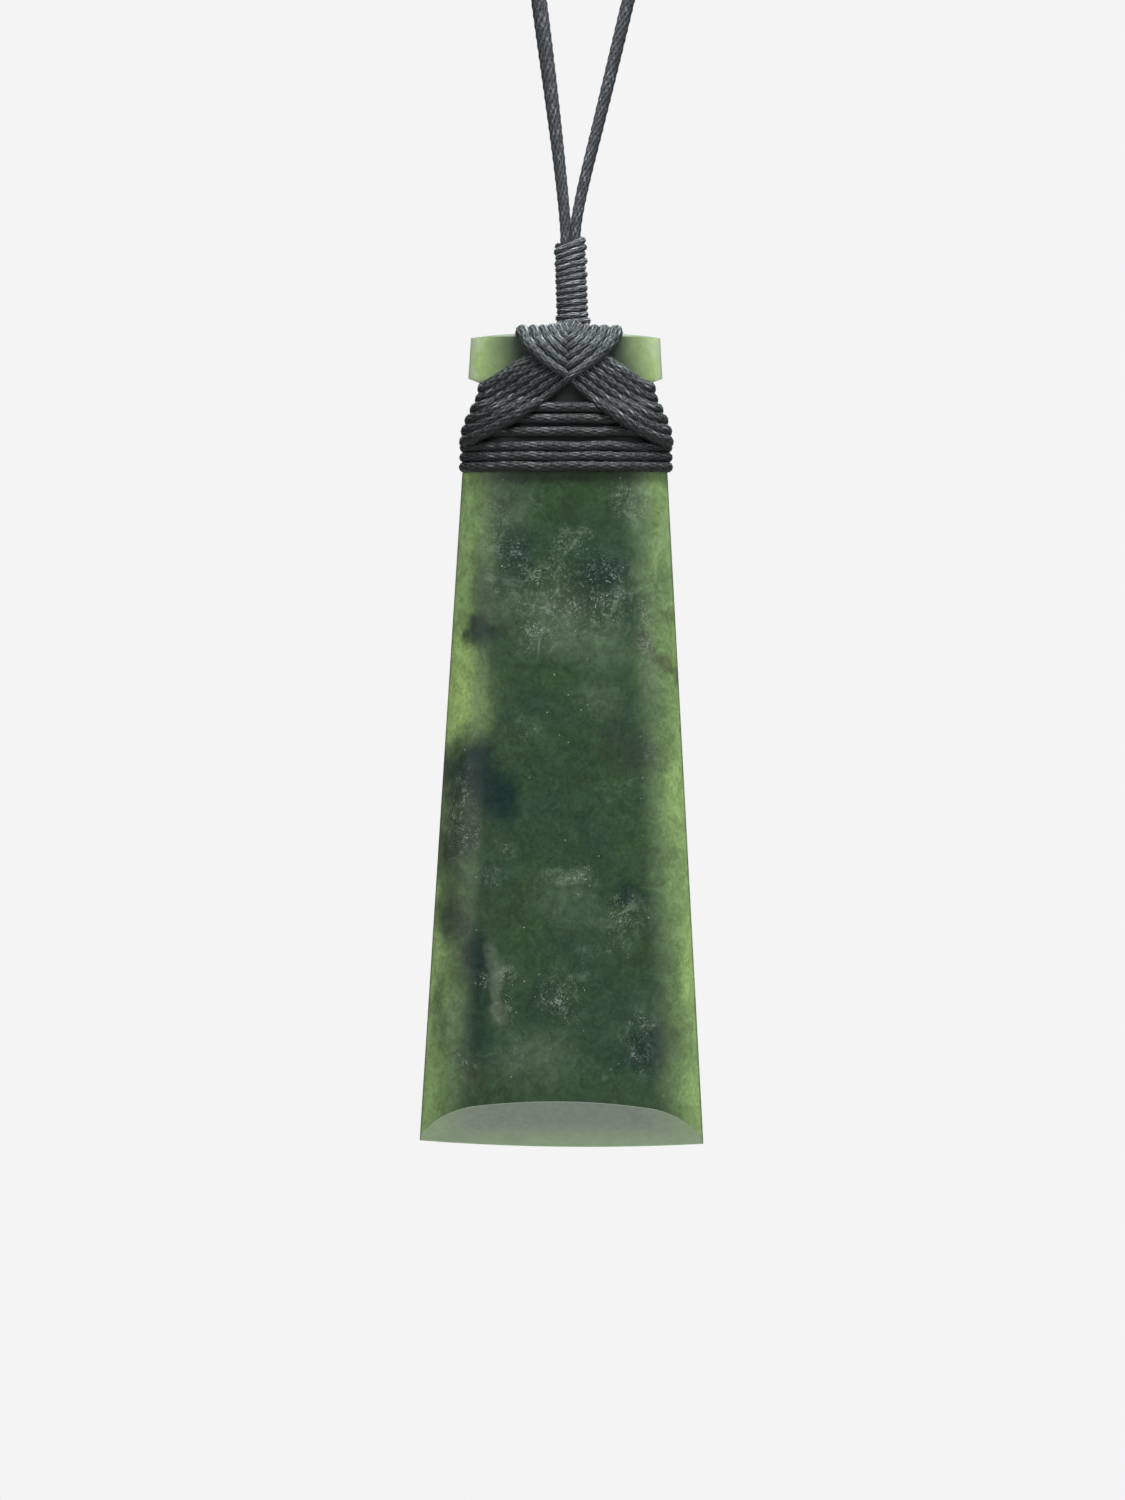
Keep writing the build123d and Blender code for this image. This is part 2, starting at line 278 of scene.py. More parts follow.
# Clusters of fine light threads
CLUSTERS = [
    Oval(0.2, 21.0, 2.8, 1.8),
    Oval(0.5, 26.0, 8.5, 4.5),
    Oval(-7.5, 20.0, 2.6, 3.4),
    Oval(9.6, 20.5, 1.2, 3.6),
    Oval(3.6, 27.2, 3.6, 1.7),
    Oval(-3.6, 30.2, 2.4, 2.4),
    Oval(6.2, 17.0, 2.6, 2.2),
    Oval(-5.4, 22.6, 1.8, 3.0),
    Oval(7.6, 30.0, 1.3, 3.0),
    Oval(0.2, 54.3, 3.0, 0.9),
    Oval(5.0, 58.2, 3.2, 2.4),
    Oval(-0.8, 66.5, 2.4, 2.6),
    Oval(-6.8, 66.0, 1.4, 3.4),
    Oval(7.0, 70.5, 2.0, 3.6),
    Oval(-10.9, 48.0, 1.8, 5.0),
]

# Light strokes in the stone, in millimetres: size of the cells that hold one each, half
# width, half length, and the share of the cells that have one
Stroke = namedtuple("Stroke", "cell half_width half_length kept")
SHORT_THREADS = Stroke(0.30, 0.030, 0.15, 0.80)
LONG_THREADS = Stroke(1.70, 0.034, 0.80, 0.70)
FLECKS = Stroke(0.90, 0.055, 0.09, 0.06)

# Pitch of a braid against a plain one, and how finely its mesh is cut: rings in each pitch
# and points round the cord for each strand
Weave = namedtuple("Weave", "pitch rings around")
BINDING_WEAVE = Weave(1.0, 7, 4)
NECK_WEAVE = Weave(0.75, 6, 3)

# Light of the room round the pendant, and how bright it is in reflections
ROOM_COLOUR = (0.95, 0.98, 1.0)
ROOM_STRENGTH = 0.26
REFLECTED_STRENGTH = 0.08
# Lamps: name, place from the middle of the view, side of the square and power, in metres and
# watts
LAMPS = [
    ("key_light", (0.14, -0.40, 0.66), 0.30, 6.2),
    ("left_light", (-0.54, -0.52, 0.18), 0.50, 1.0),
    ("right_light", (0.58, -0.48, 0.14), 0.50, 0.65),
    ("back_light", (0.0, 0.75, 0.30), 0.60, 4.2),
]


class StoneSettings(bpy.types.PropertyGroup):
    arris: FloatProperty(
        name="Arris width",
        description="Width of the small softened edge along each arris",
        default=0.18 * MM,
        unit="LENGTH",
    )
    deep_green: FloatVectorProperty(
        name="Deep green",
        description="Colour in the thick middle of the stone",
        default=(0.030, 0.063, 0.030),
        subtype="COLOR",
    )
    # Painted glow of light coming through the thin sides
    glow_green: FloatVectorProperty(
        name="Glow green",
        description="Colour of the thin sides, where light comes through",
        default=(0.250, 0.380, 0.145),
        subtype="COLOR",
    )
    # Painted reflection of the bright floor below, on the ground bevel
    bevel_reflection_green: FloatVectorProperty(
        name="Ground green",
        description="Colour of the ground bevel",
        default=(0.21364, 0.26656, 0.20776),
        subtype="COLOR",
    )


class CordSettings(bpy.types.PropertyGroup):
    dark: FloatVectorProperty(
        name="Dark fibre",
        description="Colour of the fibres deep in the braid",
        default=(0.022, 0.029, 0.030),
        subtype="COLOR",
    )
    # Colour of the painted highlights, the glints of the waxed fibres
    light: FloatVectorProperty(
        name="Light fibre",
        description="Colour of the waxed fibres on top of the braid",
        default=(0.640, 0.690, 0.690),
        subtype="COLOR",
    )
    row_thickness: FloatProperty(
        name="Level cord",
        description="Thickness of the cord in the level turns",
        default=1.10 * MM,
        unit="LENGTH",
    )
    lash_thickness: FloatProperty(
        name="Slanting cord",
        description="Thickness of the cord where the slanting turns cross",
        default=0.86 * MM,
        unit="LENGTH",
    )
    fan_thickness: FloatProperty(
        name="Spread cord",
        description="Thickness of the cord where the slanting turns go round the sides",
        default=1.32 * MM,
        unit="LENGTH",
    )
    stem_thickness: FloatProperty(
        name="Whipping cord",
        description="Thickness of the cord in the whipping",
        default=0.80 * MM,
        unit="LENGTH",
    )
    stem_turns: IntProperty(
        name="Whipping turns",
        description="Turns of the whipping round the two legs of the neck cord",
        default=13,
        min=3,
    )
    strands: IntProperty(
        name="Strands each way",
        description="Strands of the braid that run each way round the cord",
        default=8,
        min=3,
    )
    braid_angle: FloatProperty(
        name="Braid angle",
        description="Angle between a strand of the braid and the line of its cord",
        default=radians(16),
        subtype="ANGLE",
    )
    relief: FloatProperty(
        name="Braid relief",
        description="Height of the strands over the grooves between them",
        default=0.09 * MM,
        unit="LENGTH",
    )


class NeckSettings(bpy.types.PropertyGroup):
    stem_end: FloatProperty(
        name="Thickness at the whipping",
        description="Thickness of the neck cord where the whipping grips it",
        default=1.16 * MM,
        unit="LENGTH",
    )
    left_full: FloatProperty(
        name="Left thickness",
        description="Thickness of the left leg of the neck cord, clear of the whipping",
        default=1.64 * MM,
        unit="LENGTH",
    )
    right_full: FloatProperty(
        name="Right thickness",
        description="Thickness of the right leg of the neck cord, clear of the whipping",
        default=1.34 * MM,
        unit="LENGTH",
    )
    swell: FloatProperty(
        name="Swelling length",
        description="Length over which the cord reaches its full thickness",
        default=24 * MM,
        unit="LENGTH",
    )


class StageSettings(bpy.types.PropertyGroup):
    view_height: FloatProperty(
        name="Height in view",
        description="Height of the picture at the pendant",
        default=150 * MM,
        unit="LENGTH",
    )
    view_middle: FloatVectorProperty(
        name="Middle of the view",
        description="Point in the middle of the picture",
        default=(-0.85 * MM, 0.0, -335.2 * MM),
        subtype="TRANSLATION",
    )
    camera_distance: FloatProperty(
        name="Camera distance",
        description="Distance of the camera in front of the pendant",
        default=0.9,
        unit="LENGTH",
    )
    floor_drop: FloatProperty(
        name="Floor under the pendant",
        description="Height of the lowest point of the pendant over the floor",
        default=75 * MM,
        unit="LENGTH",
    )
    floor_radius: FloatProperty(
        name="Floor radius",
        description="Radius at which the pale floor has faded away",
        default=0.55,
        unit="LENGTH",
    )
    paper: FloatVectorProperty(
        name="Paper",
        description="Colour of the background and the floor",
        default=(0.905, 0.905, 0.905),
        subtype="COLOR",
    )


# Materials

class Graph:
    """Short calls that add shader nodes to a material and link them."""

    def __init__(self, name):
        self.material = bpy.data.materials.new(name)
        self.material.use_nodes = True
        self.tree = self.material.node_tree
        self.shader = self.tree.nodes["Principled BSDF"]

    def put(self, socket, value):
        if isinstance(value, bpy.types.NodeSocket):
            self.tree.links.new(value, socket)
        elif isinstance(value, (int, float)) or len(value) == len(socket.default_value):
            socket.default_value = value
        else:
            socket.default_value = (*value, 1.0)

    def node(self, kind, inputs=None, **settings):
        made = self.tree.nodes.new("ShaderNode" + kind)
        for key, value in settings.items():
            setattr(made, key, value)
        for key, value in (inputs or {}).items():
            self.put(made.inputs[key], value)
        return made

    def object_place(self):
        return self.node("TexCoord").outputs["Object"]

    def attribute(self, name):
        return self.node("Attribute", attribute_name=name).outputs["Fac"]

    def parts(self, vector):
        """The x, y and z of a vector."""
        return self.node("SeparateXYZ", {0: vector}).outputs

    def channels(self, colour):
        """The red, green and blue of a colour."""
        return self.node("SeparateColor", {0: colour}).outputs

    def normal(self):
        """The x, y and z of the direction in which the surface faces."""
        return self.parts(self.node("NewGeometry").outputs["Normal"])

    def joined(self, x, y, z):
        return self.node("CombineXYZ", {0: x, 1: y, 2: z}).outputs[0]

    def math(self, operation, first, second=0.0):
        return self.node("Math", {0: first, 1: second}, operation=operation).outputs[0]

    def times(self, value, *others):
        """Product of numbers."""
        for other in others:
            value = self.math("MULTIPLY", value, other)
        return value

    def most(self, value, *others):
        """Largest of some numbers."""
        for other in others:
            value = self.math("MAXIMUM", value, other)
        return value

    def vector(self, operation, first, second=(0.0, 0.0, 0.0)):
        made = self.node("VectorMath", {0: first, 1: second}, operation=operation)
        return made.outputs["Value" if operation == "LENGTH" else "Vector"]

    def noise(self, place, scale, detail=3.0, roughness=0.5, distortion=0.0):
        inputs = {"Vector": place, "Scale": scale, "Detail": detail, "Roughness": roughness,
                  "Distortion": distortion}
        return self.node("TexNoise", inputs).outputs["Fac"]

    def ramp(self, value, low, high, to_low=0.0, to_high=1.0, kind="LINEAR"):
        """Straight step from one range of values to another."""
        inputs = {0: value, 1: low, 2: high, 3: to_low, 4: to_high}
        return self.node("MapRange", inputs, interpolation_type=kind).outputs[0]

    def spread(self, *values):
        """Smooth step from one range of values to another."""
        return self.ramp(*values, kind="SMOOTHSTEP")

    def between(self, share, first, second):
        """Mix of two numbers."""
        return self.node("Mix", {0: share, 2: first, 3: second}, data_type="FLOAT").outputs[0]

    def mix(self, share, first, second, blend_type="MIX"):
        """Mix of two colours."""
        inputs = {0: share, 6: first, 7: second}
        return self.node("Mix", inputs, data_type="RGBA", blend_type=blend_type).outputs[2]

    def dimmed(self, share, colour, brightness):
        """Colour times a brightness, or a share of the way to it."""
        grey = self.joined(brightness, brightness, brightness)
        return self.mix(share, colour, grey, "MULTIPLY")

    def bump(self, strength, distance, height):
        inputs = {"Strength": strength, "Distance": distance, "Height": height}
        return self.node("Bump", inputs).outputs["Normal"]

    def finish(self, **sockets):
        for key, value in sockets.items():
            self.put(self.shader.inputs[key.replace("_", " ")], value)
        return self.material


def tinted(colour, tint):
    return tuple(channel * share for channel, share in zip(colour, tint))


def stone_depths(graph, place):
    """Distance in from the stone's side, and height under its top."""
    across, _, height = graph.parts(place)
    drop = graph.math("SUBTRACT", stone_high.z, height)
    length = stone_high.z - stone_low.z
    half = graph.ramp(drop, 0.0, length, *STONE_HALF_WIDTHS)
    middle = graph.ramp(drop, 0.0, length, *STONE_MIDDLES)
    out = graph.math("ABSOLUTE", graph.math("SUBTRACT", across, middle))
    return graph.math("SUBTRACT", half, out), drop


def oval_cover(graph, place, oval, strength=1.0):
    """How much of a soft oval shows at a place."""
    away = graph.vector("SUBTRACT", place, (oval.x * MM, 0.0, stone_high.z - oval.drop * MM))
    scale = (1 / (oval.half_width * MM), 0.0, 1 / (oval.half_height * MM))
    reach = graph.vector("LENGTH", graph.vector("MULTIPLY", away, scale))
    return graph.spread(reach, 0.25, 1.3, strength, 0.0)


def strokes(graph, place, stroke):
    """Short straight strokes at any slant and of any brightness, one in some of the cells of
    a net. They reach four times as deep as they are wide, so the domed face cuts them whole."""
    cells = graph.node("TexVoronoi", {"Vector": place, "Scale": 1 / (stroke.cell * MM)})
    turn, lot, brightness = graph.channels(cells.outputs["Color"])
    away = graph.vector("SUBTRACT", place, cells.outputs["Position"])
    inputs = {"Vector": away, "Angle": graph.times(turn, tau)}
    turned = graph.node("VectorRotate", inputs, rotation_type="Y_AXIS").outputs[0]
    half_width = stroke.half_width * MM
    scale = (1 / half_width, 0.25 / half_width, 1 / (stroke.half_length * MM))
    reach = graph.vector("LENGTH", graph.vector("MULTIPLY", turned, scale))
    kept = graph.math("LESS_THAN", lot, stroke.kept)
    bright = graph.times(kept, graph.ramp(brightness, 0.0, 1.0, 0.35, 1.0))
    return graph.times(graph.spread(reach, 0.5, 1.15, 1.0, 0.0), bright)


def stone_body(graph, settings, place, inward, drop):
    """Dark and deep in the middle, with a painted glow of light coming through where the stone is
    thin.
    """
    drift = graph.times(graph.math("SUBTRACT", graph.noise(place, 150.0), 0.5), 2.6 * MM)
    in_butt = graph.spread(drop, *BUTT_END, 0.78, 1.0)
    inward = graph.times(graph.math("ADD", inward, drift), in_butt)
    slow = graph.spread(graph.noise(place, 130.0, 4.0, 0.6), 0.38, 0.62)
    deep = settings.deep_green
    body = graph.mix(slow, tinted(deep, COOL), tinted(deep, WARM))
    lit = graph.mix(graph.spread(drop, *BUTT_END), BUTT_GLOW, settings.glow_green)
    glow = graph.math("POWER", graph.ramp(inward, 0.3 * MM, 4.8 * MM, 1.0, 0.0), 1.6)
    return graph.mix(glow, body, lit)


def light_threads(graph, place, bent, veil):
    """Share of light threads, grains and wisps in their clusters, and of flecks all over."""
    clusters = graph.spread(graph.noise(place, 210.0), 0.58, 0.72, 0.0, 0.7)
    for oval in CLUSTERS:
        clusters = graph.most(clusters, oval_cover(graph, bent, oval))
    off_vein = graph.math("ABSOLUTE", graph.math("SUBTRACT", graph.noise(place, 290.0), 0.5))
    veins = graph.spread(off_vein, 0.008, 0.060, 1.0, 0.36)
    threads = graph.most(
        strokes(graph, bent, SHORT_THREADS),
        strokes(graph, bent, LONG_THREADS))
    grain = graph.times(
        graph.spread(graph.noise(place, 4400.0, 3.0, 0.8), 0.48, 0.70, 0.0, 0.50),
        graph.spread(graph.noise(place, 620.0, 4.0, 0.7), 0.44, 0.62),
        clusters,
        graph.ramp(veins, 0.36, 1.0, 0.8, 1.7))
    return graph.most(
        graph.times(threads, clusters, veins),
        grain,
        strokes(graph, place, FLECKS),
        graph.times(graph.spread(veil, 0.52, 0.70, 0.0, 0.30), clusters))


def binding_shadow(graph, drop, place):
    """Share of the light that the binding keeps from the stone under and round it."""
    under = graph.times(
        graph.spread(drop, 4.6 * MM, 5.8 * MM),
        graph.spread(drop, 13.2 * MM, 13.9 * MM, 1.0, 0.0),
        0.94)
    return graph.most(under, oval_cover(graph, place, CROSSING_SHADOW, 0.95))


def butt_edge_highlight(graph, inward, drop):
    """Share of a painted highlight along the top of the butt and down its sides, where the
    polished arrises catch the light.
    """
    sides = graph.times(
        graph.spread(inward, 0.2 * MM, 0.6 * MM, 0.45, 0.0),
        graph.spread(drop, 4.2 * MM, 5.0 * MM, 1.0, 0.0))
    return graph.most(graph.spread(drop, 0.30 * MM, 0.48 * MM, 0.85, 0.0), sides)


def ground_bevel(graph, settings, place, bent, drop, veil):
    """Pale grey-green of the ground bevel, a painted reflection of the bright floor below, with a
    mottle, and greener where it is thin, a painted glow of light coming through.
    """
    off_middle = graph.math("ABSOLUTE", graph.math("SUBTRACT", graph.parts(bent)[0], BEVEL_MIDDLE))
    thin = graph.most(
        graph.spread(off_middle, 7 * MM, 14 * MM),
        graph.spread(drop, 78.4 * MM, 81.8 * MM))
    bevel = graph.mix(thin, settings.bevel_reflection_green, THIN_BEVEL_COLOUR)
    bevel_mottle = graph.times(
        graph.ramp(graph.noise(place, 1700.0, 5.0, 0.75), 0.25, 0.75, 0.90, 1.10),
        graph.ramp(veil, 0.30, 0.70, 0.90, 1.10))
    return graph.dimmed(1.0, bevel, bevel_mottle)


def arris_shade(graph, inward, drop, line):
    """Share of the painted shade in a dark line along the sides of the stone, weaker at the butt.
    """
    sideways = graph.math("ABSOLUTE", graph.normal()[0])
    rim = graph.times(
        graph.spread(inward, 0.05 * MM, 0.20 * MM, 0.55, 0.0),
        graph.spread(sideways, 0.90, 0.97, 1.0, 0.0))
    rim = graph.most(rim, graph.ramp(line, 0.0, -1.0, 0.0, 0.8))
    return graph.times(rim, graph.spread(drop, 4.8 * MM, 6.0 * MM, 0.35, 1.0))


def nephrite(settings):
    """Green stone with soft patches, clouds, fine threads and flecks, under a satin polish."""
    graph = Graph("nephrite")
    place = graph.object_place()
    inward, drop = stone_depths(graph, place)
    # Places bent by noise, so that the patches have uneven edges
    bend = graph.node("TexNoise", {"Vector": place, "Scale": 360.0, "Detail": 5.0})
    shift = graph.vector("SUBTRACT", bend.outputs["Color"], (0.5, 0.5, 0.5))
    bent = graph.vector("ADD", place, graph.vector("MULTIPLY", shift, (3.0 * MM,) * 3))
    fine = graph.noise(place, 2600.0, 4.0, 0.65)
    veil = graph.noise(place, 480.0, 7.0, 0.72, 1.4)

    shown = stone_body(graph, settings, place, inward, drop)
    for patch in PATCHES:
        cover = oval_cover(graph, bent, patch, patch.strength)
        shown = graph.mix(cover, shown, TONES[patch.tone])
    mottle = graph.times(
        graph.ramp(fine, 0.25, 0.75, 0.74, 1.28),
        graph.ramp(veil, 0.30, 0.70, 0.66, 1.38))
    shown = graph.dimmed(graph.spread(drop, 4.4 * MM, 6.0 * MM, 0.35, 1.0), shown, mottle)
    threads = light_threads(graph, place, bent, veil)
    shown = graph.mix(threads, shown, THREAD_COLOUR, "LIGHTEN")
    shown = graph.mix(binding_shadow(graph, drop, bent), shown, SHADOW_COLOUR)
    # Painted highlight along the top of the butt and down its sides
    shown = graph.mix(butt_edge_highlight(graph, inward, drop), shown, ARRIS_HIGHLIGHT_COLOUR)
    bevel = ground_bevel(graph, settings, place, bent, drop, veil)
    # Painted reflection of the bright floor on the ground bevel
    shown = graph.mix(graph.attribute("ground"), shown, bevel)
    line = graph.attribute("line")
    # Painted shade in a dark line along the side arrises
    shown = graph.mix(arris_shade(graph, inward, drop, line), shown, ARRIS_SHADE_COLOUR)
    # Painted highlight on the softened arrises that catch the light
    shown = graph.mix(graph.ramp(line, 0.0, 1.0), shown, ARRIS_HIGHLIGHT_COLOUR)

    # Fine polishing scratches along the stone
    scratch = graph.noise(graph.vector("MULTIPLY", place, (1.0, 1.0, 0.16)), 5200.0, 2.0)
    return graph.finish(
        Base_Color=shown,
        Roughness=graph.spread(fine, 0.2, 0.8, 0.30, 0.40),
        IOR=1.6,
        Specular_IOR_Level=0.28,
        Subsurface_Weight=0.12,
        Subsurface_Radius=(0.5, 1.0, 0.4),
        Subsurface_Scale=0.5 * MM,
        Normal=graph.bump(0.2, 0.02 * MM, scratch),
    )


def braid_finish(name, settings, painted_lightness, fineness=1.0, tint=(1.0, 1.0, 1.0)):
    """Waxed fibre: strands of uneven tone, painted highlights as light flecks on the crowns,
    painted light on faces turned up and painted shade in the grooves. The lightness makes lit
    and shaded copies of one cord.
    """
    graph = Graph(name)
    # The tint times the painted lightness of this copy of the cord: painted light and shade
    shade = Vector(tint) * painted_lightness
    across, length, _ = graph.parts(graph.node("UVMap", uv_map="braid").outputs[0])
    first = graph.math("ADD", across, length)
    second = graph.math("SUBTRACT", across, length)
    family = graph.attribute("family")
    crown = graph.attribute("crown")
    tone = graph.attribute("tone")
    over = graph.between(family, first, second)
    along = graph.between(family, second, first)

    # One tone for each crossing of two strands, and fibres that run along the upper one
    crossing = graph.joined(graph.math("ROUND", over), graph.math("ROUND", along), family)
    chance = graph.node("TexWhiteNoise", {"Vector": crossing}).outputs["Value"]
    lines = graph.joined(graph.times(over, 1.7), graph.times(along, 0.5), family)
    fibre = graph.noise(lines, 1.0, 4.0, 0.6)
    # Painted light: faces turned up lighter, faces turned down darker
    upward = graph.normal()[2]
    brightness = graph.times(
        graph.ramp(chance, 0.0, 1.0, 0.55, 1.45),
        graph.ramp(fibre, 0.3, 0.7, 0.5, 1.5),
        tone,
        graph.spread(upward, -0.6, 0.6, 0.50, 1.30))
    dark = Vector(settings.dark) * shade
    # Painted shade: darkest in the grooves between the strands
    base = graph.mix(graph.spread(crown, 0.05, 0.85), dark * 0.18, dark * 1.15)
    base = graph.dimmed(1.0, base, brightness)

    # Painted highlights: glints of the wax along the crowns, and short dashes of them, strongest
    # on faces turned up
    wax = graph.noise(graph.object_place(), 1300.0, 3.0, 0.6)
    waxed = graph.times(
        graph.spread(fibre, 0.48, 0.62),
        graph.spread(crown, 0.30, 0.8),
        graph.spread(graph.math("ADD", wax, chance), 0.75, 1.35, 0.05, 0.6))
    cell = graph.joined(
        graph.times(over, 1.8 * fineness),
        graph.times(along, 0.85 * fineness),
        family)
    dashes = graph.node("TexVoronoi", {"Vector": cell})
    dash = graph.times(
        graph.spread(dashes.outputs["Distance"], 0.18, 0.42, 1.0, 0.0),
        graph.spread(graph.channels(dashes.outputs["Color"])[0], 0.30, 0.90),
        graph.spread(crown, 0.10, 0.6))
    waxed = graph.times(
        graph.most(waxed, dash),
        graph.spread(upward, -0.35, 0.6, 0.15, 1.0),
        tone)
    return graph.finish(
        Base_Color=graph.mix(waxed, base, Vector(settings.light) * shade),
        Roughness=graph.spread(fibre, 0.3, 0.8, 0.60, 0.40),
        Specular_IOR_Level=0.35,
        Normal=graph.bump(0.8, 0.05 * MM, graph.times(fibre, crown)),
    )


def pale_paper(settings):
    """Pale floor that fades out into the background with the distance from its middle."""
    graph = Graph("pale_paper")
    away = graph.vector("LENGTH", graph.vector("MULTIPLY", graph.object_place(), (1.0, 1.0, 0.0)))
    faded = graph.spread(away, settings.floor_radius * 0.2, settings.floor_radius * 0.95)
    clear = graph.node("BsdfTransparent")
    shader = graph.node("MixShader", {0: faded, 1: graph.shader.outputs[0], 2: clear.outputs[0]})
    graph.put(graph.tree.nodes["Material Output"].inputs["Surface"], shader.outputs[0])
    return graph.finish(Base_Color=Vector(settings.paper) * 0.7, Roughness=0.9)


# Shapes

def deselect_all():
    if bpy.context.object and bpy.context.object.mode != "OBJECT":
        bpy.ops.object.mode_set(mode="OBJECT")
    bpy.ops.object.select_all(action="DESELECT")


def select_only(piece):
    deselect_all()
    bpy.context.view_layer.objects.active = piece
    piece.select_set(True)


def dress(piece, slot, *nodes):
    """The piece rides on the pendant and stands for those nodes of the model."""
    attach(piece, "root")
    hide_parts(*nodes)


def stone_tree():
    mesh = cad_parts["stone_blade"].data
    places = [vertex.co[:] for vertex in mesh.vertices]
    faces = [polygon.vertices[:] for polygon in mesh.polygons]
    return BVHTree.FromPolygons(places, faces)


STONE = stone_tree()


def face_point(x, z, facing, level):
    """Point that stands off the front or back of the stone by a level."""
    inside = min(z, stone_high.z - TOP_INSET)
    hit, normal, _, _ = STONE.ray_cast(Vector((x, facing, inside)), Vector((0, -facing, 0)))
    if hit is None:
        raise RuntimeError(f"no stone at {x:.4f}, {z:.4f}")
    outward = Vector((normal.x, normal.y, 0)).normalized()
    return Vector((x, hit.y, z)) + outward * level


def wall_at(z, side):
    """How far right of the middle the notched side of the stone lies at a height."""
    hit, _, _, _ = STONE.ray_cast(Vector((side, SIDE_DEPTH, z)), Vector((-side, 0, 0)))
    return hit.x


def top_at(x):
    """Height of the top of the butt."""
    hit, _, _, _ = STONE.ray_cast(Vector((x, 0, 1)), Vector((0, 0, -1)))
    return hit.z


def side_points(z, side, level, dip=0.0):
    """Points of a turn that goes round a side of the stone, from the front to the back."""
    wall = wall_at(z, side)
    skin = wall - side * SKIN_INSET
    front = face_point(skin, z, FRONT, 0).y
    back = face_point(skin, z, BACK, 0).y
    out = wall + side * level
    return [
        Vector((out, front - level * 0.15, z - dip * 0.5)),
        Vector((out, (front + back) / 2, z - dip)),
        Vector((out, back + level * 0.15, z - dip * 0.5)),
    ]


def spline_line(points, cyclic=False):
    """Points along the smooth spline that has these points as its control points."""
    curve = bpy.data.curves.new("route", "CURVE")
    curve.dimensions = "3D"
    curve.resolution_u = 10
    spline = curve.splines.new("NURBS")
    spline.points.add(len(points) - 1)
    for control, point in zip(spline.points, points):
        control.co = (*point, 1)
    spline.use_cyclic_u = cyclic
    spline.order_u = 3
    spline.use_endpoint_u = not cyclic
    holder = bpy.data.objects.new("route", curve)
    bpy.context.scene.collection.objects.link(holder)
    mesh = bpy.data.meshes.new_from_object(holder)
    line = np.array([vertex.co for vertex in mesh.vertices])
    bpy.data.objects.remove(holder)
    bpy.data.curves.remove(curve)
    bpy.data.meshes.remove(mesh)
    return line


def even_line(line, step, closed):
    """The same line with evenly spaced points, and its length."""
    whole = np.vstack([line, line[:1]]) if closed else line
    runs = np.linalg.norm(np.diff(whole, axis=0), axis=1)
    along = np.concatenate([[0], np.cumsum(runs)])
    count = max(8, round(along[-1] / step))
    stations = np.linspace(0, along[-1], count + 1)
    if closed:
        stations = stations[:-1]
    even = np.stack([np.interp(stations, along, whole[:, axis]) for axis in range(3)], axis=1)
    return even, along[-1]


def unit(vectors):
    return vectors / np.linalg.norm(vectors, axis=-1, keepdims=True)


def carried_frames(line, closed):
    """Two directions across the line at each point, carried along it without twist."""
    ahead = np.roll(line, -1, axis=0)
    behind = np.roll(line, 1, axis=0)
    if not closed:
        ahead[-1] = line[-1]
        behind[0] = line[0]
    tangents = unit(ahead - behind)
    start = np.cross(tangents[0], (0.0, 1.0, 0.3))
    sides = [start / np.linalg.norm(start)]
    for tangent in tangents[1:]:
        side = sides[-1] - tangent * np.dot(sides[-1], tangent)
        sides.append(side / np.linalg.norm(side))
    sides = np.array(sides)
    ups = np.cross(tangents, sides)
    if closed:
        last = sides[-1] - tangents[0] * np.dot(sides[-1], tangents[0])
        twist = np.arctan2(np.dot(last, ups[0]), np.dot(last, sides[0]))
        turn = -twist * np.arange(len(line)) / len(line)
        cosine, sine = np.cos(turn)[:, None], np.sin(turn)[:, None]
        sides, ups = sides * cosine + ups * sine, ups * cosine - sides * sine
    return sides, ups


def braid_height(first, second):
    """Height of a braid at its two lattice places, from 0 in a groove to 1 on a crown, and
    which way its top strand runs. The overlap is how much a strand rises where it is over."""
    overlap = 0.55
    groove = 0.35
    crown = 1.55
    heights = []
    for over, along, sign in ((first, second, 1), (second, first, -1)):
        lane = np.round(over)
        strand = np.cos(pi * (over - lane))
        heights.append(strand + sign * overlap * np.cos(pi * (along - lane)))
    top = np.maximum(*heights)
    height = np.clip((top - groove) / (crown - groove), 0, 1)
    return height, (heights[1] > heights[0]).astype(float)


def braid_faces(count, around, strands, repeats, closed):
    """Faces of a tube of rings, and the braid's lattice places at their corners. An open tube
    ends in two points, which come after its rings."""
    faces = []
    places = []
    rings = count if closed else count - 1
    for here in range(rings):
        there = (here + 1) % count
        low, high = here * repeats / rings, (here + 1) * repeats / rings
        for corner in range(around):
            after = (corner + 1) % around
            faces.append((
                here * around + corner,
                here * around + after,
                there * around + after,
                there * around + corner,
            ))
            left = strands * corner / around
            right = strands * (corner + 1) / around
            places += [(left, low), (right, low), (right, high), (left, high)]
    if not closed:
        last_ring = (count - 1) * around
        for corner in range(around):
            after = (corner + 1) % around
            faces.append((count * around, after, corner))
            faces.append((count * around + 1, last_ring + corner, last_ring + after))
            places += [(0.0, 0.0)] * 6
    return faces, places


